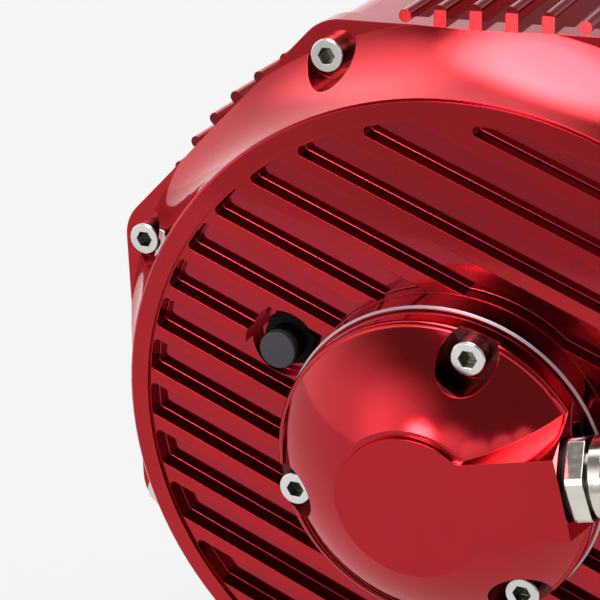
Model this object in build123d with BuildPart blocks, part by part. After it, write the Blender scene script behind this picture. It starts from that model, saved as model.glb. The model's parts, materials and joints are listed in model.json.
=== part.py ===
from build123d import *
import os
from math import cos, sin, tan, radians, sqrt, pi

os.makedirs("parts", exist_ok=True)

# ---------------------------------------------------------------------------
# Sealed brushless motor: finned octagonal housing, ribbed rear cover, rotor bell
# turning round a fixed stator. Millimetres. The shaft lies along Y, the drive end
# faces +Y and the rear cover faces -Y. The origin is the centre of the drive-end
# mounting face. A station s is the distance from that face towards the rear.
# ---------------------------------------------------------------------------
body_len = 136.0          # mounting face to the rear cover's ring face
cover_depth = 31.0        # depth of each end cover, face to housing joint
pad_drop = 23.0           # ring face down to the corner screw pads
ring_r = 89.0             # outside of the flat ring on each cover
flat_apothem = 100.0      # cover flats
corner_round = 12.0
cove_foot_r = 101.4       # where the cove meets the corner pads
screw_circle_r = 99.5     # corner screws
pocket_r = 7.0            # corner screw pockets

housing_apothem = 98.8
housing_bore_r = 92.0
fin_tip_r = 104.1
fin_w = 3.2
fin_x = (-22.5, -13.5, -4.5, 4.5, 13.5, 22.5)

rib_angle = -22.5         # direction of the parallel ribs on the rear cover
rib_pitch = 12.45
rib_w = 3.7
field_r = 83.8            # recessed field inside the ring
groove_r = 83.3
rib_drop = 0.9            # ring face to rib tops
groove_drop = 5.4         # ring face to groove floors

boss_r = 41.1             # hub boss on the rear cover
boss_rise = 7.8
hub_r = 40.0              # hub cover
hub_wall_top = 13.4
plateau_rise = 30.7
plateau_r = 17.4
channel_half = 10.0
channel_end = 37.4
gland_dir = 13.4          # direction of the sensor cable outlet, degrees from +X
gland_rise = 19.5         # its axis above the ring face
keyway_dir = 52.5         # direction of the drive keyway from +X, degrees
hub_screw_r = 35.0
hub_screw_top = 17.8

vent_x, vent_y = -45.05, 20.8
vent_pocket_r = 9.85

m5_head_r, m5_head_h, m5_r = 4.25, 5.0, 2.5

joint_f = cover_depth                 # front cover / housing
joint_r = body_len - cover_depth      # housing / rear cover
pad_s = body_len - pad_drop
boss_s = body_len + boss_rise
cavity_r = 84.0

core_s0, core_s1 = 52.0, 100.0
core_bore_r, core_r = 38.0, 78.8
air_gap = 0.8
teeth = 36
poles = 40
rotor_r = 89.0
ring_in_r = 83.05


def station(s):
    """Plane across the shaft at station s, looking at the rear: x is +X, y is +Z,
    and extrusion goes towards the rear."""
    return Plane(origin=(0, -s, 0), x_dir=(1, 0, 0), z_dir=(0, -1, 0))


AXIAL = Plane(origin=(0, 0, 0), x_dir=(1, 0, 0), z_dir=(0, 0, -1))   # (radius, station)


def out_plane(angle, rise, dist, s_ref=body_len):
    """Plane square to a radial outlet: normal points outwards along the outlet."""
    a = radians(angle)
    return Plane(
        origin=(dist * cos(a), -(s_ref + rise), dist * sin(a)),
        x_dir=(-sin(a), 0, cos(a)),
        z_dir=(cos(a), 0, sin(a)),
    )


def down_plane(s, z):
    """Plane square to a downward outlet at station s: normal is -Z, x is +X."""
    return Plane(origin=(0, -s, z), x_dir=(1, 0, 0), z_dir=(0, 0, -1))


corner_angles = [22.5 + 45 * k for k in range(8)]
hub_screw_angles = [gland_dir + 60, gland_dir + 180, gland_dir - 60]


def polar(r, angles):
    return [(r * cos(radians(a)), r * sin(radians(a))) for a in angles]


corner_pts = polar(screw_circle_r, corner_angles)
hub_pts = polar(hub_screw_r, hub_screw_angles)

# ---------------------------------------------------------------- rear cover
with BuildPart() as rear_cover:
    with BuildSketch(AXIAL):                      # coved body of revolution
        with BuildLine():
            Polyline((0, pad_s - 0.01), (cove_foot_r, pad_s - 0.01), (cove_foot_r, pad_s))
            ThreePointArc((cove_foot_r, pad_s), (93.6, pad_s + 10.65), (ring_r, body_len - 0.6))
            Polyline((ring_r, body_len - 0.6), (ring_r - 0.6, body_len), (0, body_len), (0, pad_s - 0.01))
        make_face()
    revolve(axis=Axis.Y)
    with BuildSketch(station(pad_s - 0.01)):      # flats cut the cove
        RegularPolygon(flat_apothem, 8, major_radius=False, rotation=22.5)
    extrude(amount=40, mode=Mode.INTERSECT)
    with BuildSketch(station(joint_r)) as flange_sk:
        RegularPolygon(flat_apothem, 8, major_radius=False, rotation=22.5)
        fillet(flange_sk.vertices(), radius=corner_round)
    extrude(amount=pad_s - joint_r)
    with BuildSketch(station(body_len)):          # hub boss
        Circle(boss_r)
    extrude(amount=boss_rise)
    chamfer(rear_cover.edges().group_by(Axis.Y)[0], length=0.6)
    with BuildSketch(station(body_len)):          # recessed field round the boss
        Circle(field_r)
        Circle(boss_r, mode=Mode.SUBTRACT)
    extrude(amount=-rib_drop, mode=Mode.SUBTRACT)
    with BuildSketch(station(body_len - rib_drop)) as groove_sk:
        Circle(groove_r)
        Circle(boss_r + 0.2, mode=Mode.SUBTRACT)
        with Locations([Location((rib_pitch * k * sin(radians(-rib_angle)), rib_pitch * k * cos(radians(rib_angle))), rib_angle) for k in range(-6, 7)]):
            Rectangle(200, rib_w, mode=Mode.SUBTRACT)
        ring_corners = [v for v in groove_sk.vertices() if abs(sqrt(v.X ** 2 + v.Y ** 2) - groove_r) < 0.01]
        fillet(ring_corners, radius=1.3)
    extrude(amount=-(groove_drop - rib_drop), mode=Mode.SUBTRACT)
    floor_y = -(body_len - groove_drop)
    fillet([e for e in rear_cover.edges() if abs(e.bounding_box().min.Y - floor_y) < 1e-4 and abs(e.bounding_box().max.Y - floor_y) < 1e-4], radius=0.35)
    # inside: cavity, bearing seat, encoder recess
    with BuildSketch(AXIAL):
        with BuildLine():
            Polyline(
                (34.0, joint_r - 0.01), (cavity_r, joint_r - 0.01), (cavity_r, 121.5), (81.5, 124.0),
                (34.0, 124.0), (34.0, joint_r - 0.01),
            )
        make_face()
    revolve(axis=Axis.Y, mode=Mode.SUBTRACT)
    with BuildSketch(AXIAL):
        with BuildLine():
            Polyline(
                (0, joint_r - 0.01), (35.0, joint_r - 0.01), (35.0, 109.0), (26.02, 109.0), (26.02, 126.0), (20.0, 126.0),
                (20.0, 129.0), (29.5, 129.0), (29.5, boss_s + 0.01), (0, boss_s + 0.01), (0, joint_r - 0.01),
            )
        make_face()
    revolve(axis=Axis.Y, mode=Mode.SUBTRACT)
    with BuildSketch(AXIAL):                      # locating spigot in the housing bore
        with BuildLine():
            Polyline((90.0, joint_r - 3), (91.95, joint_r - 3), (91.95, joint_r), (90.0, joint_r), close=True)
        make_face()
    revolve(axis=Axis.Y)
    with BuildSketch(AXIAL):                      # seal groove in the joint face
        with BuildLine():
            Polyline((93.2, joint_r - 0.01), (95.6, joint_r - 0.01), (95.6, joint_r + 1.6), (93.2, joint_r + 1.6), close=True)
        make_face()
    revolve(axis=Axis.Y, mode=Mode.SUBTRACT)
    with BuildSketch(station(129.0)):             # encoder board posts
        with Locations(polar(23.5, [30, 150, 270])):
            Circle(3.0)
    extrude(amount=10.5)
    with BuildSketch(station(131.0)):
        with Locations(polar(23.5, [30, 150, 270])):
            Circle(1.3)
    extrude(amount=9, mode=Mode.SUBTRACT)
    with BuildSketch(station(pad_s)):             # corner screw pockets
        with Locations(corner_pts):
            Circle(pocket_r)
    extrude(amount=30, mode=Mode.SUBTRACT)
    with BuildSketch(station(joint_r)):           # corner screw holes
        with Locations(corner_pts):
            Circle(2.75)
    extrude(amount=9, mode=Mode.SUBTRACT)
    with BuildSketch(station(133.0)):             # hub cover screw holes
        with Locations(hub_pts):
            Circle(2.55)
    extrude(amount=12, mode=Mode.SUBTRACT)
    with BuildSketch(station(123.0)):             # stator mount screw holes, blind
        with Locations(polar(52.0, range(0, 360, 60))):
            Circle(2.55)
    extrude(amount=6.2, mode=Mode.SUBTRACT)
    with BuildSketch(station(127.5)):             # vent pocket beside the boss
        with Locations((vent_x, vent_y)):
            Circle(vent_pocket_r)
        Circle(boss_r, mode=Mode.SUBTRACT)
    extrude(amount=12, mode=Mode.SUBTRACT)
    with BuildSketch(station(120.0)):
        with Locations((vent_x, vent_y)):
            Circle(4.05)
    extrude(amount=10, mode=Mode.SUBTRACT)
rear_cover.part.label = "rear_cover"
export_step(rear_cover.part, "parts/rear_cover.step")

# ---------------------------------------------------------------- housing
with BuildPart() as housing:
    with BuildSketch(station(joint_f)) as barrel_sk:
        RegularPolygon(housing_apothem, 8, major_radius=False, rotation=22.5)
        fillet(barrel_sk.vertices(), radius=corner_round)
    extrude(amount=joint_r - joint_f)
    with BuildSketch(station(joint_f)) as one_flat:
        for x in fin_x:
            tip = sqrt(fin_tip_r ** 2 - x ** 2)
            with Locations((x, (97.5 + tip - fin_w / 2) / 2)):
                Rectangle(fin_w, tip - fin_w / 2 - 97.5)
            with Locations((x, tip - fin_w / 2)):
                Circle(fin_w / 2)
    extrude(amount=joint_r - joint_f)
    for k in range(1, 8):
        with BuildSketch(station(joint_f)):
            with Locations(Location((0, 0), 45 * k)):
                add(one_flat.sketch_local)
        extrude(amount=joint_r - joint_f)
    with BuildSketch(station(joint_f + 3)) as gland_pad:   # pad for the phase glands, underneath
        with Locations((0, -101.0)):
            Rectangle(36, 6.6)
    extrude(amount=joint_r - joint_f - 6)
    with BuildSketch(station(joint_f)):
        Circle(housing_bore_r)
    extrude(amount=joint_r - joint_f, mode=Mode.SUBTRACT)
    for s0 in (joint_f, joint_r - 16):            # corner screw threads
        with BuildSketch(station(s0)):
            with Locations(corner_pts):
                Circle(2.55)
        extrude(amount=16, mode=Mode.SUBTRACT)
    for s in (43.0, 68.0, 93.0):                  # phase gland threads
        with BuildSketch(down_plane(s, -85.0)):
            Circle(9.95)
        extrude(amount=25, mode=Mode.SUBTRACT)
housing.part.label = "housing"
export_step(housing.part, "parts/housing.step")

# ---------------------------------------------------------------- front cover
with BuildPart() as front_cover:
    with BuildSketch(AXIAL):
        with BuildLine():
            Polyline((0, pad_drop + 0.01), (cove_foot_r, pad_drop + 0.01), (cove_foot_r, pad_drop))
            ThreePointArc((cove_foot_r, pad_drop), (93.6, pad_drop - 10.65), (ring_r, 0.6))
            Polyline((ring_r, 0.6), (ring_r - 0.6, 0), (0, 0), (0, pad_drop + 0.01))
        make_face()
    revolve(axis=Axis.Y)
    with BuildSketch(station(-5)):
        RegularPolygon(flat_apothem, 8, major_radius=False, rotation=22.5)
    extrude(amount=40, mode=Mode.INTERSECT)
    with BuildSketch(station(pad_drop)) as front_flange_sk:
        RegularPolygon(flat_apothem, 8, major_radius=False, rotation=22.5)
        fillet(front_flange_sk.vertices(), radius=corner_round)
    extrude(amount=cover_depth - pad_drop)
    with BuildSketch(station(-3)):                # pilot
        Circle(40.0)
    extrude(amount=3)
    chamfer(front_cover.edges().group_by(Axis.Y)[-1], length=0.5)
    with BuildSketch(station(0)) as web_sk:       # lightening pockets round the bolt bosses
        Circle(80.0)
        Circle(50.0, mode=Mode.SUBTRACT)
        with Locations(polar(65.0, range(0, 360, 45))):
            Circle(10.0, mode=Mode.SUBTRACT)
        with PolarLocations(65.0, 16):
            Rectangle(40, 4.0, mode=Mode.SUBTRACT)
    extrude(amount=4.5, mode=Mode.SUBTRACT)
    with BuildSketch(AXIAL):                      # cavity
        with BuildLine():
            Polyline(
                (42.0, joint_f + 0.01), (42.0, 14.0), (81.5, 14.0), (cavity_r, 16.5), (cavity_r, joint_f + 0.01), close=True,
            )
        make_face()
    revolve(axis=Axis.Y, mode=Mode.SUBTRACT)
    with BuildSketch(AXIAL):                      # seal bore, shoulder, bearing seat
        with BuildLine():
            Polyline(
                (0, -3.01), (21.02, -3.01), (21.02, 6.0), (24.0, 6.0), (24.0, 10.0), (31.02, 10.0), (31.02, 26.0),
                (43.0, 26.0), (43.0, joint_f + 0.01), (0, joint_f + 0.01), close=True,
            )
        make_face()
    revolve(axis=Axis.Y, mode=Mode.SUBTRACT)
    with BuildSketch(AXIAL):
        with BuildLine():
            Polyline((90.0, joint_f), (91.95, joint_f), (91.95, joint_f + 3), (90.0, joint_f + 3), close=True)
        make_face()
    revolve(axis=Axis.Y)
    with BuildSketch(AXIAL):
        with BuildLine():
            Polyline((93.2, joint_f + 0.01), (95.6, joint_f + 0.01), (95.6, joint_f - 1.6), (93.2, joint_f - 1.6), close=True)
        make_face()
    revolve(axis=Axis.Y, mode=Mode.SUBTRACT)
    with BuildSketch(station(pad_drop)):
        with Locations(corner_pts):
            Circle(pocket_r)
    extrude(amount=-30, mode=Mode.SUBTRACT)
    with BuildSketch(station(pad_drop - 1)):
        with Locations(corner_pts):
            Circle(2.75)
    extrude(amount=10, mode=Mode.SUBTRACT)
    with BuildSketch(station(0)):                 # M8 mounting threads, blind
        with Locations(polar(65.0, range(0, 360, 45))):
            Circle(3.4)
    extrude(amount=12, mode=Mode.SUBTRACT)
    with BuildSketch(station(26)):                # retainer screw threads
        with Locations(polar(36.5, range(45, 360, 90))):
            Circle(2.05)
    extrude(amount=-9, mode=Mode.SUBTRACT)
front_cover.part.label = "front_cover"
export_step(front_cover.part, "parts/front_cover.step")

# ---------------------------------------------------------------- hub cover
g_x, g_y = cos(radians(gland_dir)), sin(radians(gland_dir))
seat_s = boss_s + 0.5
with BuildPart() as hub_cover:
    with BuildSketch(AXIAL):                      # domed lid
        with BuildLine():
            Polyline((0, seat_s), (hub_r, seat_s), (hub_r, body_len + hub_wall_top))
            ThreePointArc((hub_r, body_len + hub_wall_top), (39.62, body_len + hub_wall_top + 0.95), (38.7, body_len + hub_wall_top + 1.5))
            ThreePointArc((38.7, body_len + hub_wall_top + 1.5), (29.9, body_len + 23.1), (18.9, body_len + 29.3))
            Polyline((18.9, body_len + 29.3), (0, body_len + 29.3), (0, seat_s))
        make_face()
    revolve(axis=Axis.Y)
    with BuildSketch(station(body_len + plateau_rise)) as keyhole_sk:   # raised keyhole
        Circle(plateau_r)
        with Locations(Location((30 * g_x, 30 * g_y), gland_dir)):
            Rectangle(60, 2 * channel_half)
        inner = [v for v in keyhole_sk.vertices() if sqrt(v.X ** 2 + v.Y ** 2) < plateau_r + 0.5]
        fillet(inner, radius=3.0)
    extrude(amount=-(plateau_rise - 9.5), taper=-14)
    with BuildSketch(out_plane(gland_dir, 0, channel_end)):             # flat end face
        Rectangle(120, 120)
    extrude(amount=60, mode=Mode.SUBTRACT)
    with BuildSketch(AXIAL):                      # cavity over the encoder
        with BuildLine():
            Polyline((0, seat_s - 0.01), (26.5, seat_s - 0.01), (26.5, body_len + 11.5), (23.0, body_len + 20.0), (16.0, body_len + 27.0), (0, body_len + 27.0), close=True)
        make_face()
    revolve(axis=Axis.Y, mode=Mode.SUBTRACT)
    with BuildSketch(station(body_len + hub_screw_top - m5_head_h)):    # screw pockets
        with Locations(hub_pts):
            Circle(6.8)
    extrude(amount=20, mode=Mode.SUBTRACT)
    with BuildSketch(station(seat_s)):
        with Locations(hub_pts):
            Circle(2.75)
    extrude(amount=20, mode=Mode.SUBTRACT)
    with BuildSketch(out_plane(gland_dir, gland_rise, 15)):             # gland thread
        Circle(7.35)
    extrude(amount=30, mode=Mode.SUBTRACT)
hub_cover.part.label = "hub_cover"
export_step(hub_cover.part, "parts/hub_cover.step")

with BuildPart() as hub_cover_gasket:
    with BuildSketch(station(boss_s)):
        Circle(39.6)
        Circle(30.2, mode=Mode.SUBTRACT)
        with Locations(hub_pts):
            Circle(2.75, mode=Mode.SUBTRACT)
        with Locations(Location(((channel_end + 10) * g_x, (channel_end + 10) * g_y), gland_dir)):
            Rectangle(20, 60, mode=Mode.SUBTRACT)
    extrude(amount=0.5)
hub_cover_gasket.part.label = "hub_cover_gasket"
export_step(hub_cover_gasket.part, "parts/hub_cover_gasket.step")

# ---------------------------------------------------------------- cover seals
with BuildPart() as rear_cover_seal:
    with BuildSketch(AXIAL):
        with Locations((94.4, joint_r + 0.8)):
            Circle(0.79)
    revolve(axis=Axis.Y)
rear_cover_seal.part.label = "rear_cover_seal"
export_step(rear_cover_seal.part, "parts/rear_cover_seal.step")

with BuildPart() as front_cover_seal:
    with BuildSketch(AXIAL):
        with Locations((94.4, joint_f - 0.8)):
            Circle(0.79)
    revolve(axis=Axis.Y)
front_cover_seal.part.label = "front_cover_seal"
export_step(front_cover_seal.part, "parts/front_cover_seal.step")


# ---------------------------------------------------------------- cap screws
def cap_screw_block(part, points, seat, toward_rear, head_r, head_h, shank_r, shank_l, socket_af):
    """Cap screws in the given part: heads stand on the station seat."""
    sgn = 1 if toward_rear else -1
    with BuildSketch(station(seat)) as head_sk:
        with Locations(points):
            Circle(head_r)
    extrude(head_sk.sketch, amount=sgn * head_h)
    rims = [e for e in part.edges().filter_by(GeomType.CIRCLE)
            if abs(e.arc_center.Y + seat + sgn * head_h) < 1e-3]
    chamfer(rims, length=0.07 * head_r)
    with BuildSketch(station(seat)) as shank_sk:
        with Locations(points):
            Circle(shank_r)
    extrude(shank_sk.sketch, amount=-sgn * shank_l)
    with BuildSketch(station(seat + sgn * head_h)) as socket_sk:
        with Locations(points):
            RegularPolygon(socket_af / 2, 6, major_radius=False)
    extrude(socket_sk.sketch, amount=-sgn * head_h * 0.6, mode=Mode.SUBTRACT)


with BuildPart() as rear_cover_screws:
    cap_screw_block(rear_cover_screws, corner_pts, pad_s, True, m5_head_r, m5_head_h, m5_r, 22, 4.0)
rear_cover_screws.part.label = "rear_cover_screws"
export_step(rear_cover_screws.part, "parts/rear_cover_screws.step")

with BuildPart() as front_cover_screws:
    cap_screw_block(front_cover_screws, corner_pts, pad_drop, False, m5_head_r, m5_head_h, m5_r, 22, 4.0)
front_cover_screws.part.label = "front_cover_screws"
export_step(front_cover_screws.part, "parts/front_cover_screws.step")

with BuildPart() as hub_cover_screws:
    cap_screw_block(hub_cover_screws, hub_pts, body_len + hub_screw_top - m5_head_h, True, m5_head_r, m5_head_h, m5_r, 14, 4.0)
hub_cover_screws.part.label = "hub_cover_screws"
export_step(hub_cover_screws.part, "parts/hub_cover_screws.step")

# ---------------------------------------------------------------- vent plug
with BuildPart() as vent_plug:
    with BuildSketch(station(130.4)):
        with Locations((vent_x, vent_y)):
            Circle(4.9)
    extrude(amount=body_len + 1.6 - 130.4)
    fillet(vent_plug.edges().group_by(Axis.Y)[0], radius=0.5)
    with BuildSketch(station(128.3)):
        with Locations(Location((vent_x, vent_y), 12)):
            RegularPolygon(6.5, 6, major_radius=False)
    extrude(amount=2.2)
    with BuildSketch(station(121.0)):
        with Locations((vent_x, vent_y)):
            Circle(4.0)
    extrude(amount=7.4)
    with BuildSketch(station(121.0)):
        with Locations((vent_x, vent_y)):
            Circle(1.6)
    extrude(amount=12.5, mode=Mode.SUBTRACT)
    with BuildSketch(Plane(origin=(vent_x - 10, -132.8, vent_y), x_dir=(0, 1, 0), z_dir=(1, 0, 0))):
        Circle(0.8)
    extrude(amount=20, mode=Mode.SUBTRACT)
vent_plug.part.label = "vent_plug"
export_step(vent_plug.part, "parts/vent_plug.step")

with BuildPart() as vent_seal:
    with BuildSketch(station(127.5)):
        with Locations((vent_x, vent_y)):
            Circle(6.4)
            Circle(4.08, mode=Mode.SUBTRACT)
    extrude(amount=0.78)
vent_seal.part.label = "vent_seal"
export_step(vent_seal.part, "parts/vent_seal.step")

# ---------------------------------------------------------------- sensor cable gland
with BuildPart() as sensor_gland_body:
    with BuildSketch(out_plane(gland_dir, gland_rise, 26.5)):
        Circle(7.3)
    extrude(amount=12)
    with BuildSketch(out_plane(gland_dir, gland_rise, 38.3)):
        RegularPolygon(9.5, 6, major_radius=False, rotation=8.6)
        Circle(10.55, mode=Mode.INTERSECT)
    extrude(amount=4.1)
    with BuildSketch(out_plane(gland_dir, gland_rise, 42.4)):
        Circle(8.0)
    extrude(amount=9.6)
    with BuildSketch(out_plane(gland_dir, gland_rise, 26.5)):
        Circle(5.0)
    extrude(amount=30, mode=Mode.SUBTRACT)
    with BuildSketch(out_plane(gland_dir, gland_rise, 44.0)):
        Circle(6.3)
    extrude(amount=10, mode=Mode.SUBTRACT)
sensor_gland_body.part.label = "sensor_gland_body"
export_step(sensor_gland_body.part, "parts/sensor_gland_body.step")

with BuildPart() as sensor_gland_washer:
    with BuildSketch(out_plane(gland_dir, gland_rise, channel_end)):
        Circle(9.2)
        Circle(7.4, mode=Mode.SUBTRACT)
    extrude(amount=0.9)
sensor_gland_washer.part.label = "sensor_gland_washer"
export_step(sensor_gland_washer.part, "parts/sensor_gland_washer.step")

with BuildPart() as sensor_gland_nut:
    with BuildSketch(out_plane(gland_dir, gland_rise, 43.4)):
        Circle(9.6)
    extrude(amount=3.0)
    with BuildSketch(out_plane(gland_dir, gland_rise, 46.4)):
        RegularPolygon(9.5, 6, major_radius=False, rotation=8.6)
        Circle(10.55, mode=Mode.INTERSECT)
    extrude(amount=6.4)
    with BuildSketch(out_plane(gland_dir, gland_rise, 52.8)):
        Circle(9.2)
    extrude(amount=4.2)
    rim_pt = 57.0
    nut_rim = [e for e in sensor_gland_nut.edges().filter_by(GeomType.CIRCLE)
               if abs(e.arc_center.X * g_x + e.arc_center.Z * g_y - rim_pt) < 1e-3]
    fillet(nut_rim, radius=2.6)
    with BuildSketch(out_plane(gland_dir, gland_rise, 43.4)):
        Circle(8.08)
    extrude(amount=10, mode=Mode.SUBTRACT)
    with BuildSketch(out_plane(gland_dir, gland_rise, 53.3)):
        Circle(6.35)
    extrude(amount=2.2, mode=Mode.SUBTRACT)
    with BuildSketch(out_plane(gland_dir, gland_rise, 53.3)):
        Circle(4.6)
    extrude(amount=6, mode=Mode.SUBTRACT)
sensor_gland_nut.part.label = "sensor_gland_nut"
export_step(sensor_gland_nut.part, "parts/sensor_gland_nut.step")

with BuildPart() as sensor_gland_seal:
    with BuildSketch(out_plane(gland_dir, gland_rise, 44.1)):
        Circle(6.2)
        Circle(3.5, mode=Mode.SUBTRACT)
    extrude(amount=11.3)
sensor_gland_seal.part.label = "sensor_gland_seal"
export_step(sensor_gland_seal.part, "parts/sensor_gland_seal.step")

# ---------------------------------------------------------------- phase cable glands
gland_stations = (43.0, 68.0, 93.0)
pad_z = -104.3
with BuildPart() as phase_gland_bodies:
    for s in gland_stations:
        with BuildSketch(down_plane(s, pad_z + 10)):
            Circle(9.9)
        extrude(amount=11)
        with BuildSketch(down_plane(s, pad_z - 1)):
            RegularPolygon(12, 6, major_radius=False)
            Circle(13.4, mode=Mode.INTERSECT)
        extrude(amount=5)
        with BuildSketch(down_plane(s, pad_z - 6)):
            Circle(10.2)
        extrude(amount=10)
        with BuildSketch(down_plane(s, pad_z + 10)):
            Circle(7.0)
        extrude(amount=30, mode=Mode.SUBTRACT)
        with BuildSketch(down_plane(s, pad_z - 7)):
            Circle(8.1)
        extrude(amount=10, mode=Mode.SUBTRACT)
phase_gland_bodies.part.label = "phase_gland_bodies"
export_step(phase_gland_bodies.part, "parts/phase_gland_bodies.step")

with BuildPart() as phase_gland_washers:
    for s in gland_stations:
        with BuildSketch(down_plane(s, pad_z)):
            Circle(12.0)
            Circle(10.0, mode=Mode.SUBTRACT)
        extrude(amount=1.0)
phase_gland_washers.part.label = "phase_gland_washers"
export_step(phase_gland_washers.part, "parts/phase_gland_washers.step")

with BuildPart() as phase_gland_nuts:
    for s in gland_stations:
        with BuildSketch(down_plane(s, pad_z - 8)):
            RegularPolygon(12, 6, major_radius=False)
            Circle(13.3, mode=Mode.INTERSECT)
        extrude(amount=9)
        with BuildSketch(down_plane(s, pad_z - 17)):
            Circle(11.6)
        extrude(amount=5)
    fillet(phase_gland_nuts.edges().group_by(Axis.Z)[0], radius=3.0)
    for s in gland_stations:
        with BuildSketch(down_plane(s, pad_z - 8)):
            Circle(10.28)
        extrude(amount=9, mode=Mode.SUBTRACT)
        with BuildSketch(down_plane(s, pad_z - 17)):
            Circle(8.15)
        extrude(amount=2.5, mode=Mode.SUBTRACT)
        with BuildSketch(down_plane(s, pad_z - 17)):
            Circle(6.4)
        extrude(amount=6, mode=Mode.SUBTRACT)
phase_gland_nuts.part.label = "phase_gland_nuts"
export_step(phase_gland_nuts.part, "parts/phase_gland_nuts.step")

with BuildPart() as phase_gland_seals:
    for s in gland_stations:
        with BuildSketch(down_plane(s, pad_z - 7.1)):
            Circle(8.0)
            Circle(5.0, mode=Mode.SUBTRACT)
        extrude(amount=12.3)
phase_gland_seals.part.label = "phase_gland_seals"
export_step(phase_gland_seals.part, "parts/phase_gland_seals.step")

# ---------------------------------------------------------------- stator
with BuildPart() as stator_mount:
    with BuildSketch(AXIAL):
        with BuildLine():
            Polyline(
                (28.0, 46.0), (37.97, 46.0), (37.97, 50.0), (36.5, 50.0), (36.5, 52.0), (37.97, 52.0), (37.97, 100.0),
                (45.0, 100.0), (45.0, 116.0), (60.0, 116.0), (60.0, 123.98), (34.03, 123.98), (34.03, 108.5), (28.0, 108.5), close=True,
            )
        make_face()
    revolve(axis=Axis.Y)
    with BuildSketch(station(115.0)):
        with Locations(polar(52.0, range(0, 360, 60))):
            Circle(2.75)
    extrude(amount=10, mode=Mode.SUBTRACT)
    with BuildSketch(station(115.0)):             # air passage to the vent
        with Locations((vent_x, vent_y)):
            Circle(6.0)
    extrude(amount=10, mode=Mode.SUBTRACT)
stator_mount.part.label = "stator_mount"
export_step(stator_mount.part, "parts/stator_mount.step")

with BuildPart() as stator_mount_screws:
    cap_screw_block(stator_mount_screws, polar(52.0, range(0, 360, 60)), 116.0, False, m5_head_r, m5_head_h, m5_r, 12.5, 4.0)
stator_mount_screws.part.label = "stator_mount_screws"
export_step(stator_mount_screws.part, "parts/stator_mount_screws.step")

with BuildPart() as stator_circlip:
    with BuildSketch(station(50.1)):
        Circle(42.0)
        Circle(36.55, mode=Mode.SUBTRACT)
        with Locations((0, 40)):
            Rectangle(7, 12, mode=Mode.SUBTRACT)
    extrude(amount=1.8)
stator_circlip.part.label = "stator_circlip"
export_step(stator_circlip.part, "parts/stator_circlip.step")


def slot_cuts():
    """The slots between the teeth, cut from a round lamination in the current sketch."""
    for k in range(teeth):
        with Locations(Location((0, 0), 360 / teeth * (k + 0.5))):
            with BuildSketch(mode=Mode.PRIVATE) as slot:
                with BuildLine():
                    Polyline((52.0, -1.5), (75.6, -3.6), (75.6, -1.0), (80, -1.0), (80, 1.0), (75.6, 1.0), (75.6, 3.6), (52.0, 1.5), close=True)
                make_face()
            add(slot.sketch, mode=Mode.SUBTRACT)


with BuildPart() as stator_core:
    with BuildSketch(station(core_s0)) as lamination:
        Circle(core_r)
        Circle(core_bore_r, mode=Mode.SUBTRACT)
        slot_cuts()
    extrude(amount=core_s1 - core_s0)
stator_core.part.label = "stator_core"
export_step(stator_core.part, "parts/stator_core.step")

for name, s0 in (("slot_insulator_front", core_s0 - 1.5), ("slot_insulator_rear", core_s1)):
    with BuildPart() as insulator:
        with BuildSketch(station(s0)):
            add(lamination.sketch_local)
            Circle(48.0, mode=Mode.SUBTRACT)
            Circle(77.5, mode=Mode.INTERSECT)
        extrude(amount=1.5)
    insulator.part.label = name
    export_step(insulator.part, "parts/" + name + ".step")

with BuildPart() as coil:                         # one coil round the tooth on +X
    with BuildSketch(station(core_s0 - 8)):
        with BuildLine():
            Polyline((53.6, -4.4), (75.0, -6.25), (75.0, 6.25), (53.6, 4.4), close=True)
        make_face()
    extrude(amount=core_s1 - core_s0 + 16)
    fillet(coil.edges().filter_by(Plane.XZ).filter_by(lambda e: abs(e.center().Z) > 3), radius=2.4)
    with BuildSketch(station(core_s0 - 1.6)):
        with Locations((65, 0)):
            Rectangle(30, 6.4)
    extrude(amount=core_s1 - core_s0 + 3.2, mode=Mode.SUBTRACT)

for phase, first in (("a", 0), ("b", 3), ("c", 6)):
    with BuildPart() as coils:
        for k in range(4):
            for j in range(3):
                ang = 360 / teeth * (first + j + 9 * k)
                with Locations(Location((0, 0, 0), (0, ang, 0))):
                    add(coil.part)
    coils.part.label = "phase_" + phase + "_coils"
    export_step(coils.part, "parts/phase_" + phase + "_coils.step")

with BuildPart() as temperature_sensor:           # bead on the end turns
    with BuildSketch(station(core_s1 + 8.1)):
        with Locations(Location((64 * cos(radians(85)), 64 * sin(radians(85))), 85)):
            SlotOverall(12, 5)
    extrude(amount=3.0)
temperature_sensor.part.label = "temperature_sensor"
export_step(temperature_sensor.part, "parts/temperature_sensor.step")

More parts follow.
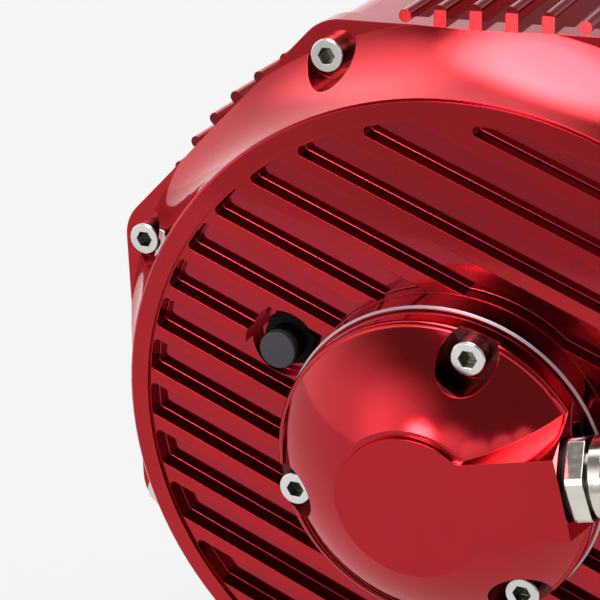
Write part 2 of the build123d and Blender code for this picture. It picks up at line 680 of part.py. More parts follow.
# ---------------------------------------------------------------- rotor
with BuildPart() as shaft:
    with BuildSketch(AXIAL):
        with BuildLine():
            Polyline(
                (0, -50), (11.7, -50), (12.5, -49.2), (12.5, -4.0), (14.0, -4.0), (14.0, 9.9), (15.0, 9.9), (15.0, 34.0), (16.0, 34.0),
                (16.0, 50.0), (20.0, 50.0), (20.0, 54.0), (14.5, 56.0), (14.5, 104.0), (15.6, 106.0), (15.6, 110.0), (12.5, 110.0),
                (12.5, 125.1), (11.8, 125.1), (11.8, 126.3), (12.5, 126.3), (12.5, 129.4), (11.9, 130.0), (4.0, 130.0), (4.0, 120.0),
                (0, 120.0), close=True,
            )
        make_face()
    revolve(axis=Axis.Y)
    k_x, k_z = cos(radians(keyway_dir)), sin(radians(keyway_dir))
    with BuildSketch(Plane(origin=(8.5 * k_x, 28.0, 8.5 * k_z), x_dir=(k_z, 0, -k_x), z_dir=(k_x, 0, k_z))):     # drive keyway
        SlotOverall(34, 8, rotation=90)
    extrude(amount=6, mode=Mode.SUBTRACT)
    with BuildSketch(Plane(origin=(0, -42, 13.0), x_dir=(1, 0, 0), z_dir=(0, 0, 1))):     # bell keyway
        Rectangle(8, 12)
    extrude(amount=6, mode=Mode.SUBTRACT)
    with BuildSketch(station(-50)):               # M8 end thread
        Circle(3.4)
    extrude(amount=22, mode=Mode.SUBTRACT)
shaft.part.label = "shaft"
export_step(shaft.part, "parts/shaft.step")

with BuildPart() as rotor_key:
    with BuildSketch(Plane(origin=(0, -42, 13.02), x_dir=(1, 0, 0), z_dir=(0, 0, 1))):
        Rectangle(7.96, 11.9)
    extrude(amount=5.3)
rotor_key.part.label = "rotor_key"
export_step(rotor_key.part, "parts/rotor_key.step")

with BuildPart() as rotor_bell:
    with BuildSketch(AXIAL):
        with BuildLine():
            Polyline(
                (16.02, 34.05), (rotor_r - 0.5, 34.05), (rotor_r, 34.55), (rotor_r, 41.0), (82.95, 41.0), (82.95, 44.0), (78.0, 44.0), (76.0, 41.0),
                (27.0, 41.0), (25.0, 43.0), (25.0, 49.95), (16.02, 49.95), close=True,
            )
        make_face()
    revolve(axis=Axis.Y)
    with BuildSketch(station(30)):                # vent windows
        with PolarLocations(54.0, 10):
            SlotOverall(38, 15)
    extrude(amount=12, mode=Mode.SUBTRACT)
    with BuildSketch(station(30)):                # screw counterbores
        with PolarLocations(86.0, 12):
            Circle(2.8)
    extrude(amount=7.1, mode=Mode.SUBTRACT)
    with BuildSketch(station(30)):
        with PolarLocations(86.0, 12):
            Circle(1.6)
    extrude(amount=14, mode=Mode.SUBTRACT)
    with BuildSketch(Plane(origin=(0, -42, 12.0), x_dir=(1, 0, 0), z_dir=(0, 0, 1))):
        Rectangle(8.04, 20)
    extrude(amount=6.4, mode=Mode.SUBTRACT)
rotor_bell.part.label = "rotor_bell"
export_step(rotor_bell.part, "parts/rotor_bell.step")

with BuildPart() as flux_ring:
    with BuildSketch(AXIAL):
        with BuildLine():
            Polyline((ring_in_r, 41.02), (rotor_r, 41.02), (rotor_r, 103.0), (ring_in_r, 103.0), close=True)
        make_face()
    revolve(axis=Axis.Y)
    with BuildSketch(station(41)):
        with PolarLocations(86.0, 12):
            Circle(1.55)
    extrude(amount=9, mode=Mode.SUBTRACT)
flux_ring.part.label = "flux_ring"
export_step(flux_ring.part, "parts/flux_ring.step")

with BuildPart() as bell_screws:
    cap_screw_block(bell_screws, [(86.0 * cos(radians(a)), 86.0 * sin(radians(a))) for a in range(0, 360, 30)], 37.06, False, 2.7, 3.0, 1.5, 11.5, 2.5)
bell_screws.part.label = "bell_screws"
export_step(bell_screws.part, "parts/bell_screws.step")

mag_in, mag_out = core_r + air_gap, ring_in_r - 0.05
with BuildPart() as magnet:
    with BuildSketch(station(core_s0)):
        with BuildLine():
            a = radians(4.1)
            Line((mag_in * cos(a), -mag_in * sin(a)), (mag_out * cos(a), -mag_out * sin(a)))
            ThreePointArc((mag_out * cos(a), -mag_out * sin(a)), (mag_out, 0), (mag_out * cos(a), mag_out * sin(a)))
            Line((mag_out * cos(a), mag_out * sin(a)), (mag_in * cos(a), mag_in * sin(a)))
            ThreePointArc((mag_in * cos(a), mag_in * sin(a)), (mag_in, 0), (mag_in * cos(a), -mag_in * sin(a)))
        make_face()
    extrude(amount=core_s1 - core_s0)

with BuildPart() as magnets:
    for k in range(poles):
        with Locations(Location((0, 0, 0), (0, 360 / poles * k, 0))):
            add(magnet.part)
magnets.part.label = "magnets"
export_step(magnets.part, "parts/magnets.step")

with BuildPart() as shaft_spacer:
    with BuildSketch(AXIAL):
        with BuildLine():
            Polyline((15.02, 26.02), (19.0, 26.02), (19.0, 34.0), (15.02, 34.0), close=True)
        make_face()
    revolve(axis=Axis.Y)
shaft_spacer.part.label = "shaft_spacer"
export_step(shaft_spacer.part, "parts/shaft_spacer.step")

with BuildPart() as shaft_circlip:
    with BuildSketch(station(125.15)):
        Circle(15.0)
        Circle(11.85, mode=Mode.SUBTRACT)
        with Locations((0, 14)):
            Rectangle(5, 6, mode=Mode.SUBTRACT)
    extrude(amount=1.1)
shaft_circlip.part.label = "shaft_circlip"
export_step(shaft_circlip.part, "parts/shaft_circlip.step")

# ---------------------------------------------------------------- bearings
for name, s0, width, r_in, r_out, r_ball, n_ball, land in (
    ("front", 10.0, 16.0, 15.01, 31.0, 4.75, 9, 1.35),
    ("rear", 110.02, 15.0, 12.51, 26.0, 3.97, 9, 1.05),
):
    r_pitch = (r_in + r_out) / 2
    mid = s0 + width / 2
    with BuildPart() as outer_race:
        with BuildSketch(AXIAL):
            with BuildLine():
                Polyline((r_pitch + r_ball - land, s0), (r_out, s0), (r_out, s0 + width), (r_pitch + r_ball - land, s0 + width), close=True)
            make_face()
            with Locations((r_pitch, mid)):
                Circle(r_ball + 0.05, mode=Mode.SUBTRACT)
        revolve(axis=Axis.Y)
    outer_race.part.label = name + "_bearing_outer_race"
    export_step(outer_race.part, "parts/" + name + "_bearing_outer_race.step")
    with BuildPart() as inner_race:
        with BuildSketch(AXIAL):
            with BuildLine():
                Polyline((r_in, s0), (r_pitch - r_ball + land, s0), (r_pitch - r_ball + land, s0 + width), (r_in, s0 + width), close=True)
            make_face()
            with Locations((r_pitch, mid)):
                Circle(r_ball + 0.05, mode=Mode.SUBTRACT)
        revolve(axis=Axis.Y)
    inner_race.part.label = name + "_bearing_inner_race"
    export_step(inner_race.part, "parts/" + name + "_bearing_inner_race.step")
    ball_pts = [(r_pitch * cos(2 * pi * k / n_ball), -mid, r_pitch * sin(2 * pi * k / n_ball)) for k in range(n_ball)]
    with BuildPart() as balls:
        with Locations(*ball_pts):
            Sphere(r_ball)
    balls.part.label = name + "_bearing_balls"
    export_step(balls.part, "parts/" + name + "_bearing_balls.step")
    with BuildPart() as cage:
        with BuildSketch(AXIAL):
            with Locations((r_pitch, mid)):
                Rectangle(2.4, 2 * r_ball + 2.6)
        revolve(axis=Axis.Y)
        for k in range(n_ball):                   # radial ball pockets
            a = 2 * pi * k / n_ball
            with BuildSketch(Plane(origin=(0, -mid, 0), x_dir=(0, 1, 0), z_dir=(cos(a), 0, sin(a)))):
                Circle(r_ball + 0.08)
            extrude(amount=r_out + 5, mode=Mode.SUBTRACT)
    cage.part.label = name + "_bearing_cage"
    export_step(cage.part, "parts/" + name + "_bearing_cage.step")

with BuildPart() as bearing_retainer:
    with BuildSketch(station(26.02)):
        Circle(42.0)
        Circle(27.0, mode=Mode.SUBTRACT)
        with Locations(polar(36.5, range(45, 360, 90))):
            Circle(2.2, mode=Mode.SUBTRACT)
    extrude(amount=3.0)
bearing_retainer.part.label = "bearing_retainer"
export_step(bearing_retainer.part, "parts/bearing_retainer.step")

with BuildPart() as retainer_screws:
    cap_screw_block(retainer_screws, polar(36.5, range(45, 360, 90)), 29.02, True, 3.5, 2.4, 2.0, 9.5, 2.5)
retainer_screws.part.label = "retainer_screws"
export_step(retainer_screws.part, "parts/retainer_screws.step")

with BuildPart() as preload_spring:
    with BuildSketch(AXIAL):
        with BuildLine():
            Polyline((21.0, 125.06), (25.6, 125.06), (25.6, 125.94), (21.0, 125.94), close=True)
        make_face()
    revolve(axis=Axis.Y)
preload_spring.part.label = "preload_spring"
export_step(preload_spring.part, "parts/preload_spring.step")

with BuildPart() as shaft_seal:
    with BuildSketch(AXIAL):
        with BuildLine():
            Polyline((14.08, 4.0), (14.6, 2.4), (16.0, 1.6), (16.0, -1.6), (21.0, -1.6), (21.0, 5.9), (18.6, 5.9), (18.6, 0.6), (17.6, 0.6), (17.2, 3.2), (14.8, 5.4), close=True)
        make_face()
    revolve(axis=Axis.Y)
shaft_seal.part.label = "shaft_seal"
export_step(shaft_seal.part, "parts/shaft_seal.step")

# ---------------------------------------------------------------- encoder
with BuildPart() as encoder_magnet_holder:
    with BuildSketch(AXIAL):
        with BuildLine():
            Polyline((0, 121.0), (3.97, 121.0), (3.97, 130.05), (8.0, 130.05), (8.0, 136.8), (5.05, 136.8), (5.05, 133.8), (0, 133.8), close=True)
        make_face()
    revolve(axis=Axis.Y)
encoder_magnet_holder.part.label = "encoder_magnet_holder"
export_step(encoder_magnet_holder.part, "parts/encoder_magnet_holder.step")

with BuildPart() as encoder_magnet:
    with BuildSketch(station(133.82)):
        Circle(5.0)
    extrude(amount=2.98)
encoder_magnet.part.label = "encoder_magnet"
export_step(encoder_magnet.part, "parts/encoder_magnet.step")

with BuildPart() as encoder_board:
    with BuildSketch(station(139.52)):
        Circle(28.0)
        with Locations(polar(23.5, [30, 150, 270])):
            Circle(1.5, mode=Mode.SUBTRACT)
    extrude(amount=1.6)
encoder_board.part.label = "encoder_board"
export_step(encoder_board.part, "parts/encoder_board.step")

with BuildPart() as encoder_chip:
    with BuildSketch(station(138.3)):
        Rectangle(5.2, 6.4)
    extrude(amount=1.2)
encoder_chip.part.label = "encoder_chip"
export_step(encoder_chip.part, "parts/encoder_chip.step")

with BuildPart() as encoder_connector:
    with BuildSketch(station(141.14)):
        with Locations(Location((14 * g_x, 14 * g_y), gland_dir + 90)):
            Rectangle(14, 6)
    extrude(amount=5.5)
    with BuildSketch(station(142.4)):
        with Locations(Location((14 * g_x, 14 * g_y), gland_dir + 90)):
            Rectangle(12, 4)
    extrude(amount=6, mode=Mode.SUBTRACT)
encoder_connector.part.label = "encoder_connector"
export_step(encoder_connector.part, "parts/encoder_connector.step")

with BuildPart() as encoder_board_screws:
    cap_screw_block(encoder_board_screws, polar(23.5, [30, 150, 270]), 141.14, True, 2.3, 1.8, 1.25, 8.5, 1.5)
encoder_board_screws.part.label = "encoder_board_screws"
export_step(encoder_board_screws.part, "parts/encoder_board_screws.step")
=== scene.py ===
"""Sealed red-anodised motor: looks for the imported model. All lengths in metres, in the frame of the CAD."""

import json
import math
import bpy
from mathutils import Matrix, Vector


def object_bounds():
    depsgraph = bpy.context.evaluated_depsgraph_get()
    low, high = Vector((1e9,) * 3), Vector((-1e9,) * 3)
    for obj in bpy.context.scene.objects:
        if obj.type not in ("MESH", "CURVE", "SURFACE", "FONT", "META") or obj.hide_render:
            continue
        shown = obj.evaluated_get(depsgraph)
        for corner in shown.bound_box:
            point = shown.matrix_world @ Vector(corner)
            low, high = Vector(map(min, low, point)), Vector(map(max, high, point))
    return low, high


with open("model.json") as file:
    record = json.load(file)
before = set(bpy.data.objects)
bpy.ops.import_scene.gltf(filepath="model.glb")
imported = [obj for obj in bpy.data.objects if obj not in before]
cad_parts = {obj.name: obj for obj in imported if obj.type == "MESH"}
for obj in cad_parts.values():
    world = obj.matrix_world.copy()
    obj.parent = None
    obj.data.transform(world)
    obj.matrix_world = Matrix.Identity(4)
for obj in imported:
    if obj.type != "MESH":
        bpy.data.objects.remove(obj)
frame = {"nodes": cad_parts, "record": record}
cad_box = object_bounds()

scene = bpy.context.scene
nodes = frame["nodes"]

# ------------------------------------------------------------------ camera
cam_data = bpy.data.cameras.new("camera")
cam_data.lens = 103.64
cam_data.sensor_width = 36.0
cam_data.sensor_fit = "HORIZONTAL"
cam_data.clip_start, cam_data.clip_end = 0.01, 50.0
cam = bpy.data.objects.new("camera", cam_data)
scene.collection.objects.link(cam)
cam.matrix_world = Matrix(
    (
        (0.91831, -0.12574, 0.37536, 0.1210),
        (0.39486, 0.35828, -0.84601, -0.4968),
        (-0.02811, 0.92511, 0.37866, 0.1962),
        (0, 0, 0, 1),
    )
)
scene.camera = cam
scene.view_settings.view_transform = "Standard"
scene.view_settings.look = "None"


# ------------------------------------------------------------------ node helpers
class Mat:
    """A material's node tree, with short calls for the nodes used here."""

    def __init__(self, name):
        self.m = bpy.data.materials.new(name)
        self.m.use_nodes = True
        self.t = self.m.node_tree
        self.t.nodes.clear()
        self.out = self.t.nodes.new("ShaderNodeOutputMaterial")
        self.b = self.t.nodes.new("ShaderNodeBsdfPrincipled")
        self.t.links.new(self.b.outputs[0], self.out.inputs["Surface"])
        self.coord = self.t.nodes.new("ShaderNodeTexCoord").outputs["Object"]

    def node(self, kind, **props):
        n = self.t.nodes.new(kind)
        for k, v in props.items():
            setattr(n, k, v)
        return n

    def put(self, socket, value):
        if isinstance(value, bpy.types.NodeSocket):
            self.t.links.new(value, socket)
        else:
            socket.default_value = value

    def math(self, op, a, b=0.0, c=0.0, clamp=False):
        n = self.node("ShaderNodeMath", operation=op, use_clamp=clamp)
        for s, v in zip(n.inputs, (a, b, c)):
            self.put(s, v)
        return n.outputs[0]

    def noise(self, scale, detail=3.0, rough=0.55, stretch=None, distortion=0.0):
        vec = self.coord
        if stretch:
            mp = self.node("ShaderNodeMapping")
            self.put(mp.inputs["Vector"], vec)
            mp.inputs["Scale"].default_value = stretch
            vec = mp.outputs[0]
        n = self.node("ShaderNodeTexNoise")
        self.put(n.inputs["Vector"], vec)
        n.inputs["Scale"].default_value = scale
        n.inputs["Detail"].default_value = detail
        n.inputs["Roughness"].default_value = rough
        n.inputs["Distortion"].default_value = distortion
        return n.outputs["Fac"]

    def span(self, value, lo, hi, out_lo=0.0, out_hi=1.0, smooth=True):
        n = self.node("ShaderNodeMapRange", interpolation_type="SMOOTHSTEP" if smooth else "LINEAR")
        for s, v in zip(n.inputs, (value, lo, hi, out_lo, out_hi)):
            self.put(s, v)
        return n.outputs[0]

    def mix(self, fac, a, b):
        n = self.node("ShaderNodeMix", data_type="RGBA")
        self.put(n.inputs[0], fac)
        self.put(n.inputs[6], a)
        self.put(n.inputs[7], b)
        return n.outputs[2]

    def edge(self, radius, lo=0.02, hi=0.25):
        """1 on convex and concave edges, 0 on flats and gentle curves."""
        bevel = self.node("ShaderNodeBevel", samples=6)
        bevel.inputs["Radius"].default_value = radius
        geo = self.node("ShaderNodeNewGeometry")
        dot = self.node("ShaderNodeVectorMath", operation="DOT_PRODUCT")
        self.put(dot.inputs[0], bevel.outputs[0])
        self.put(dot.inputs[1], geo.outputs["Normal"])
        return self.span(self.math("SUBTRACT", 1.0, dot.outputs["Value"]), lo, hi), bevel.outputs[0]

    def crevice(self, distance, lo=0.25, hi=0.75):
        """1 deep in sockets and corners, 0 in the open."""
        ao = self.node("ShaderNodeAmbientOcclusion", samples=6)
        ao.inputs["Distance"].default_value = distance
        return self.span(ao.outputs["AO"], lo, hi, 1.0, 0.0)

    def bump(self, height, strength, distance, normal=None):
        n = self.node("ShaderNodeBump")
        n.inputs["Strength"].default_value = strength
        n.inputs["Distance"].default_value = distance
        self.put(n.inputs["Height"], height)
        if normal is not None:
            self.put(n.inputs["Normal"], normal)
        return n.outputs[0]

    def set(self, **values):
        for k, v in values.items():
            self.put(self.b.inputs[k.replace("_", " ")], v)

    def xyz(self):
        s = self.node("ShaderNodeSeparateXYZ")
        self.put(s.inputs[0], self.coord)
        return s.outputs


def rgb(r, g, b):
    return (r, g, b, 1.0)


# ------------------------------------------------------------------ red anodised aluminium
def red_anodised(name, rear=False, pocket_shade=0.0, serial=0.0, wells=(), well_r=0.0, ends=0.0):
    m = Mat(name)
    edge, rounded = m.edge(0.00035)
    tone = m.noise(18.0 + serial, 4.0)
    fine = m.noise(900.0, 2.0)
    base = m.mix(m.span(tone, 0.35, 0.65), rgb(0.385, 0.0016, 0.0070), rgb(0.435, 0.0024, 0.0095))
    base = m.mix(m.span(edge, 0.0, 1.0, 0.0, 0.45), base, rgb(0.62, 0.045, 0.040))
    rough = m.math("ADD", m.span(tone, 0.3, 0.7, 0.085, 0.115), m.span(fine, 0.35, 0.65, 0.0, 0.02))
    rough = m.math("ADD", rough, m.math("MULTIPLY", edge, 0.05))
    height = m.math("ADD", m.noise(420.0, 2.0), m.math("MULTIPLY", m.noise(2600.0, 1.0), 0.12))
    if pocket_shade:
        # painted shade: deep pockets and corners darkened towards near-black red
        base = m.mix(m.math("MULTIPLY", m.crevice(0.009, 0.28, 0.62), pocket_shade), base, rgb(0.07, 0.0006, 0.0016))
    if ends:
        # faces turned towards the rear, the sawn fin ends, are darker
        ng = m.node("ShaderNodeNewGeometry")
        ns = m.node("ShaderNodeSeparateXYZ")
        m.put(ns.inputs[0], ng.outputs["Normal"])
        base = m.mix(m.math("MULTIPLY", m.span(ns.outputs[1], -0.92, -0.60, 1.0, 0.0), ends), base, rgb(0.075, 0.0006, 0.0020))
    # painted shade: the hub screw wells darkened to near-black red, and made rougher
    if wells:
        px, _, pz = m.xyz()
        well_shade_mask = None
        for cx, cz in wells:
            dx = m.math("SUBTRACT", px, cx)
            dz = m.math("SUBTRACT", pz, cz)
            hit = m.math("LESS_THAN", m.math("SQRT", m.math("ADD", m.math("MULTIPLY", dx, dx), m.math("MULTIPLY", dz, dz))), well_r)
            well_shade_mask = hit if well_shade_mask is None else m.math("MAXIMUM", well_shade_mask, hit)
        base = m.mix(m.math("MULTIPLY", well_shade_mask, 0.85), base, rgb(0.050, 0.0004, 0.0012))
        rough = m.math("ADD", rough, m.math("MULTIPLY", well_shade_mask, 0.12))
    if rear:
        x, y, z = m.xyz()
        r = m.math("SQRT", m.math("ADD", m.math("MULTIPLY", x, x), m.math("MULTIPLY", z, z)))
        field = m.math("LESS_THAN", r, 0.0842)
        geo = m.node("ShaderNodeNewGeometry")
        sep = m.node("ShaderNodeSeparateXYZ")
        m.put(sep.inputs[0], geo.outputs["Normal"])
        upright = m.math("ABSOLUTE", sep.outputs[1])
        # the milled groove floors get a slightly bluer red than the turned and fly-cut tops
        floors = m.math("MULTIPLY", field, m.math("GREATER_THAN", y, -0.1346))
        base = m.mix(m.math("MULTIPLY", floors, 0.8), base, rgb(0.350, 0.0045, 0.0215))
        # painted shade: the groove side walls darkened to near-black red
        wall_shade = m.math("MULTIPLY", m.math("MULTIPLY", field, m.math("GREATER_THAN", y, -0.1431)), m.span(upright, 0.35, 0.75, 1.0, 0.0))
        base = m.mix(m.math("MULTIPLY", wall_shade, 0.78), base, rgb(0.055, 0.0003, 0.0012))
        # painted shade: the sloping faces round the foot of the boss darkened to near-black red
        foot_shade = m.math("MULTIPLY", m.math("MULTIPLY", m.math("LESS_THAN", r, 0.0520), m.math("GREATER_THAN", y, -0.1431)), m.span(upright, 0.90, 0.985, 1.0, 0.0))
        base = m.mix(m.math("MULTIPLY", foot_shade, 0.70), base, rgb(0.055, 0.0003, 0.0012))
        # the turned edge of the boss was cut after anodising, so it is bare metal
        ring = m.math("MULTIPLY", m.math("COMPARE", r, 0.04082, 0.00026), m.math("LESS_THAN", y, -0.1432))
        base = m.mix(ring, base, rgb(0.46, 0.43, 0.50))
        rough = m.math("ADD", rough, m.math("MULTIPLY", ring, 0.30))
    m.set(
        Base_Color=base,
        Metallic=1.0,
        Roughness=rough,
        Normal=m.bump(height, 0.02, 0.0004, rounded),
    )
    m.b.inputs["Specular Tint"].default_value = (1.0, 0.45, 0.50, 1.0)
    m.b.inputs["Coat Weight"].default_value = 1.0
    m.b.inputs["Coat Roughness"].default_value = 0.035
    m.b.inputs["Coat IOR"].default_value = 1.33
    return m.m


def plain_metal(name, colour, dark, rough, grain=None, edge_colour=None, edge_r=0.0003, bump=0.05, socket_shade=None):
    """Bare or plated metal: cloudy tone, fine brushed or turned grain, brighter worn edges."""
    m = Mat(name)
    edge, rounded = m.edge(edge_r)
    tone = m.noise(60.0, 4.0)
    g = m.noise(1.0, 3.0, stretch=grain or (900, 900, 900))
    base = m.mix(m.span(tone, 0.3, 0.7), rgb(*dark), rgb(*colour))
    base = m.mix(m.span(edge, 0.0, 1.0, 0.0, 0.7), base, rgb(*(edge_colour or tuple(min(1.0, c * 1.12) for c in colour))))
    # painted shade: sockets and corners darkened towards the given dark colour
    if socket_shade:
        base = m.mix(m.crevice(0.006), base, rgb(*socket_shade))
    r = m.math("ADD", m.span(tone, 0.3, 0.7, rough * 0.85, rough * 1.15), m.span(g, 0.3, 0.7, -0.03, 0.05))
    m.set(Base_Color=base, Metallic=1.0, Roughness=r, Normal=m.bump(g, bump, 0.0002, rounded))
    return m.m


def plain_solid(name, colour, dark, rough, scale=300.0, bump=0.15, spec=0.5, edge_colour=None, depth=0.0002):
    """Rubber, plastic or board: fine grain, slight mottling, edges a little paler."""
    m = Mat(name)
    edge, rounded = m.edge(0.0003)
    tone = m.noise(70.0, 4.0)
    g = m.noise(scale * 6, 3.0)
    base = m.mix(m.span(tone, 0.3, 0.7), rgb(*dark), rgb(*colour))
    base = m.mix(m.span(edge, 0.0, 1.0, 0.0, 0.6), base, rgb(*(edge_colour or tuple(min(1.0, c * 1.6 + 0.01) for c in colour))))
    r = m.span(m.math("ADD", tone, m.math("MULTIPLY", g, 0.4)), 0.4, 1.0, rough * 0.85, min(1.0, rough * 1.2))
    m.set(Base_Color=base, Metallic=0.0, Roughness=r, Normal=m.bump(g, bump, depth, rounded))
    m.b.inputs["Specular IOR Level"].default_value = spec
    return m.m


def vent_moulding(name, top):
    """Black nylon whose cap end catches the light; the flange below it sits in the pocket's shade."""
    m = Mat(name)
    edge, rounded = m.edge(0.0003)
    tone = m.noise(70.0, 4.0)
    g = m.noise(3000.0, 3.0)
    deep = m.span(m.xyz()[1], top + 0.0008, top + 0.0036)
    base = m.mix(m.span(tone, 0.3, 0.7), rgb(0.025, 0.019, 0.028), rgb(0.034, 0.026, 0.037))
    base = m.mix(m.span(edge, 0.0, 1.0, 0.0, 0.5), base, rgb(0.060, 0.050, 0.064))
    base = m.mix(deep, base, rgb(0.003, 0.002, 0.003))
    m.set(Base_Color=base, Metallic=0.0, Roughness=m.span(tone, 0.3, 0.7, 0.44, 0.56), Normal=m.bump(g, 0.22, 0.0002, rounded))
    m.put(m.b.inputs["Specular IOR Level"], m.span(deep, 0.0, 1.0, 0.5, 0.08))
    return m.m


def laminated(name):
    """Stacked electrical sheets: fine bands across the shaft axis."""
    m = Mat(name)
    edge, rounded = m.edge(0.0002)
    y = m.xyz()[1]
    band = m.math("PINGPONG", m.math("MULTIPLY", y, 1.0 / 0.0005), 1.0)
    tone = m.noise(90.0, 4.0)
    base = m.mix(m.span(tone, 0.3, 0.7), rgb(0.26, 0.27, 0.29), rgb(0.36, 0.36, 0.37))
    base = m.mix(m.span(band, 0.0, 0.25, 0.6, 0.0), base, rgb(0.10, 0.10, 0.11))
    m.set(Base_Color=base, Metallic=0.85, Roughness=m.span(tone, 0.3, 0.7, 0.38, 0.5), Normal=m.bump(band, 0.25, 0.0001, rounded))
    return m.m


def enamelled(name):
    """Enamelled copper wire, wound tight: fine turns across the coil."""
    m = Mat(name)
    w = m.node("ShaderNodeTexWave", wave_type="BANDS", bands_direction="Y", wave_profile="SIN")
    m.put(w.inputs["Vector"], m.coord)
    w.inputs["Scale"].default_value = 170.0
    w.inputs["Distortion"].default_value = 0.6
    w.inputs["Detail"].default_value = 1.0
    tone = m.noise(160.0, 3.0)
    base = m.mix(m.span(tone, 0.3, 0.7), rgb(0.42, 0.13, 0.035), rgb(0.58, 0.21, 0.06))
    base = m.mix(m.span(w.outputs["Fac"], 0.0, 0.4, 0.7, 0.0), base, rgb(0.12, 0.03, 0.01))
    m.set(Base_Color=base, Metallic=0.9, Roughness=m.span(tone, 0.3, 0.7, 0.24, 0.36), Normal=m.bump(w.outputs["Fac"], 0.5, 0.0004))
    m.b.inputs["Coat Weight"].default_value = 0.6
    m.b.inputs["Coat Roughness"].default_value = 0.12
    return m.m


SLOTS = {
    "red_anodised": red_anodised("red_anodised_metal"),
    "stainless": plain_metal("stainless_steel", (0.74, 0.735, 0.71), (0.62, 0.615, 0.59), 0.15, grain=(1200, 1200, 1200), bump=0.04, socket_shade=(0.09, 0.09, 0.065)),
    "nickel_brass": plain_metal("nickel_plated_brass", (0.74, 0.70, 0.62), (0.60, 0.565, 0.49), 0.15, grain=(700, 700, 700), bump=0.04, socket_shade=(0.12, 0.105, 0.08)),
    "black_rubber": plain_solid("black_rubber_moulded", (0.012, 0.012, 0.013), (0.008, 0.008, 0.009), 0.66, 400, 0.25),
    "black_plastic": plain_solid("black_nylon", (0.034, 0.026, 0.037), (0.025, 0.019, 0.028), 0.50, 500, 0.22),
    "bare_aluminium": plain_metal("bare_aluminium_cut", (0.80, 0.80, 0.81), (0.70, 0.70, 0.715), 0.30, grain=(150, 2200, 150), bump=0.08),
    "lamination_steel": laminated("electrical_sheet_stack"),
    "ground_steel": plain_metal("ground_steel_bar", (0.62, 0.615, 0.60), (0.53, 0.525, 0.515), 0.22, grain=(90, 2600, 90), bump=0.07),
    "magnet": plain_metal("nickel_plated_magnet", (0.60, 0.60, 0.585), (0.50, 0.50, 0.49), 0.25, grain=(500, 500, 500)),
    "enamelled_copper": enamelled("enamelled_wire"),
    "light_polymer": plain_solid("light_polymer_moulded", (0.62, 0.58, 0.48), (0.52, 0.48, 0.40), 0.45, 300, 0.12),
    "circuit_board": plain_solid("circuit_board_masked", (0.012, 0.085, 0.032), (0.008, 0.06, 0.022), 0.32, 200, 0.1),
}
slot_of = {s["node"]: s["material_slot"] for s in frame["record"]["subparts"]}
# the hub screws stand on a 35 mm circle, 120 degrees apart
screw_vs = [nodes["hub_cover_screws"].matrix_world @ v.co for v in nodes["hub_cover_screws"].data.vertices]
clusters = {}
for v in screw_vs:
    a = round((math.degrees(math.atan2(v.z, v.x)) % 360.0) / 1.0)
    key = next((k for k in clusters if abs((a - k + 180) % 360 - 180) < 40), a)
    clusters.setdefault(key, []).append(v)
hub_wells = sorted(((min(v.x for v in c) + max(v.x for v in c)) / 2, (min(v.z for v in c) + max(v.z for v in c)) / 2) for c in clusters.values())
vent_top = min((nodes["vent_plug"].matrix_world @ Vector(c)).y for c in nodes["vent_plug"].bound_box)
SPECIAL = {
    "vent_plug": vent_moulding("black_nylon_vent", vent_top),
    "rear_cover": red_anodised("red_anodised_rear_cover", rear=True, pocket_shade=0.75, serial=1.7),
    "hub_cover": red_anodised("red_anodised_hub_cover", pocket_shade=0.85, serial=3.1, wells=hub_wells, well_r=0.00665),
    "housing": red_anodised("red_anodised_housing", serial=5.3, ends=0.65),
}
for name, obj in nodes.items():
    mat = SPECIAL.get(name) or SLOTS.get(slot_of.get(name), SLOTS["bare_aluminium"])
    if not obj.material_slots:
        obj.data.materials.append(mat)
    for i in range(len(obj.material_slots)):
        obj.material_slots[i].material = mat

# ------------------------------------------------------------------ floor
floor_z = cad_box[0].z - 0.0005
bpy.ops.mesh.primitive_circle_add(vertices=96, radius=9.0, fill_type="NGON", location=(0, 0, floor_z))
floor = bpy.context.active_object
floor.name = "floor"
fm = bpy.data.materials.new("pale_floor")
fm.use_nodes = True
ft = fm.node_tree
ft.nodes.clear()
fo = ft.nodes.new("ShaderNodeOutputMaterial")
fa = ft.nodes.new("ShaderNodeAddShader")
fd = ft.nodes.new("ShaderNodeBsdfDiffuse")
fe = ft.nodes.new("ShaderNodeEmission")
fd.inputs["Color"].default_value = (0.11, 0.11, 0.11, 1)
fe.inputs["Color"].default_value = (1, 1, 1, 1)
fe.inputs["Strength"].default_value = 0.675
ft.links.new(fd.outputs[0], fa.inputs[0])
ft.links.new(fe.outputs[0], fa.inputs[1])
ft.links.new(fa.outputs[0], fo.inputs[0])
floor.data.materials.append(fm)

# a soft grey card low in front, which shades the lower right of the flat faces
bpy.ops.mesh.primitive_grid_add(x_subdivisions=2, y_subdivisions=2, size=1.0)
card = bpy.context.active_object
card.name = "grey_card"
card.scale = (1.5, 0.62, 1.0)
card_dir = Vector((math.sin(math.radians(14)) * math.cos(math.radians(-17)), -math.cos(math.radians(14)) * math.cos(math.radians(-17)), math.sin(math.radians(-17))))
card.location = Vector((0.0, -0.136, 0.02)) + card_dir * 0.42
card.rotation_mode = "QUATERNION"
card.rotation_quaternion = (-card_dir).to_track_quat("Z", "Y")
cm = bpy.data.materials.new("grey_card_soft")
cm.use_nodes = True
ct = cm.node_tree
ct.nodes.clear()
c_out = ct.nodes.new("ShaderNodeOutputMaterial")
c_mix = ct.nodes.new("ShaderNodeMixShader")
c_clear = ct.nodes.new("ShaderNodeBsdfTransparent")
c_em = ct.nodes.new("ShaderNodeEmission")
c_em.inputs["Color"].default_value = (1, 1, 1, 1)
c_em.inputs["Strength"].default_value = 0.55
c_co = ct.nodes.new("ShaderNodeTexCoord")
c_len = ct.nodes.new("ShaderNodeVectorMath")
c_len.operation = "LENGTH"
ct.links.new(c_co.outputs["Object"], c_len.inputs[0])
c_map = ct.nodes.new("ShaderNodeMapRange")
c_map.interpolation_type = "SMOOTHSTEP"
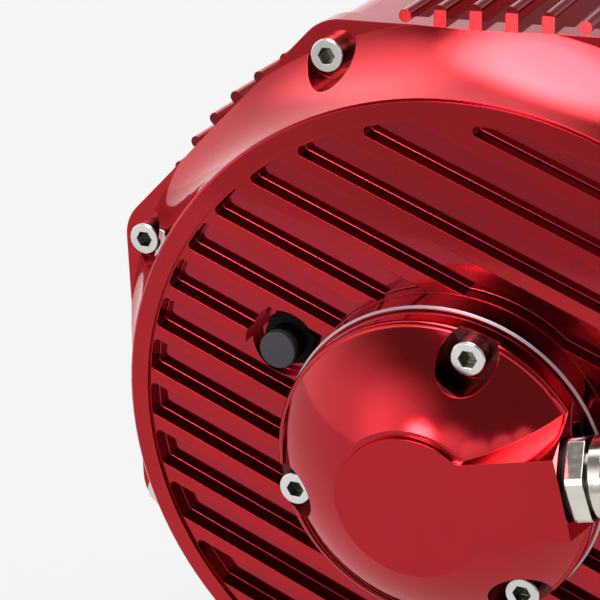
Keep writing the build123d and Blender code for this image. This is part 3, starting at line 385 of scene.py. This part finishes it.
ct.links.new(c_len.outputs["Value"], c_map.inputs[0])
for s_, v_ in zip(c_map.inputs[1:5], (0.12, 0.5, 1.0, 0.0)):
    s_.default_value = v_
ct.links.new(c_map.outputs[0], c_mix.inputs[0])
ct.links.new(c_clear.outputs[0], c_mix.inputs[1])
ct.links.new(c_em.outputs[0], c_mix.inputs[2])
ct.links.new(c_mix.outputs[0], c_out.inputs[0])
card.data.materials.append(cm)
card.visible_camera = False
card.visible_diffuse = False
card.visible_shadow = False

# ------------------------------------------------------------------ soft studio surroundings
world = bpy.data.worlds.new("studio")
scene.world = world
world.use_nodes = True
wt = world.node_tree
wt.nodes.clear()
w_out = wt.nodes.new("ShaderNodeOutputWorld")
w_bg = wt.nodes.new("ShaderNodeBackground")
wt.links.new(w_bg.outputs[0], w_out.inputs[0])
w_dir = wt.nodes.new("ShaderNodeTexCoord").outputs["Generated"]


def w_math(op, a, b=0.0, clamp=False):
    n = wt.nodes.new("ShaderNodeMath")
    n.operation, n.use_clamp = op, clamp
    for s, v in zip(n.inputs, (a, b)):
        if isinstance(v, bpy.types.NodeSocket):
            wt.links.new(v, s)
        else:
            s.default_value = v
    return n.outputs[0]


def aim(az, el):
    """Azimuth 0 looks out of the rear cover, along -Y, and 90 along +X; elevation is above the horizon."""
    a, e = math.radians(az), math.radians(el)
    return (math.sin(a) * math.cos(e), -math.cos(a) * math.cos(e), math.sin(e))


def patch(az, el, inner, outer):
    """1 within inner degrees of a direction, fading to 0 at outer degrees."""
    dot = wt.nodes.new("ShaderNodeVectorMath")
    dot.operation = "DOT_PRODUCT"
    wt.links.new(w_dir, dot.inputs[0])
    dot.inputs[1].default_value = aim(az, el)
    angle = w_math("ARCCOSINE", w_math("MINIMUM", dot.outputs["Value"], 0.99999))
    n = wt.nodes.new("ShaderNodeMapRange")
    n.interpolation_type = "SMOOTHSTEP"
    wt.links.new(angle, n.inputs[0])
    for s, v in zip(n.inputs[1:5], (math.radians(inner), math.radians(outer), 1.0, 0.0)):
        s.default_value = v
    return n.outputs[0]


total = 0.22
for az, el, inner, outer, power in (
    (180, 84, 10, 28, 12.0),     # large overhead panel, towards the drive end
    (-150, 50, 12, 40, 1.3),     # its spill, back left
    (-114, 47, 12, 27, 1.2),
    (-128, 12, 20, 52, 0.90),    # pale wall at the left
    (-60, -2, 18, 55, 1.05),     # pale wall in front, left
    (-28, 18, 6, 33, 1.0),
    (-12, 14, 2, 12, 14.0),      # window just left of the viewpoint
    (4, 8, 6, 20, 1.6),
    (21, 8, 5, 11, 1.5),         # low strip to the right of the viewpoint
    (35, 12, 4, 8, 1.3),
    (47, 13, 4, 8, 1.3),
    (120, 15, 20, 52, 0.85),     # pale wall at the right
):
    total = w_math("ADD", total, w_math("MULTIPLY", patch(az, el, inner, outer), power))
wt.links.new(total, w_bg.inputs["Strength"])
w_bg.inputs["Color"].default_value = (1.0, 1.0, 1.0, 1.0)
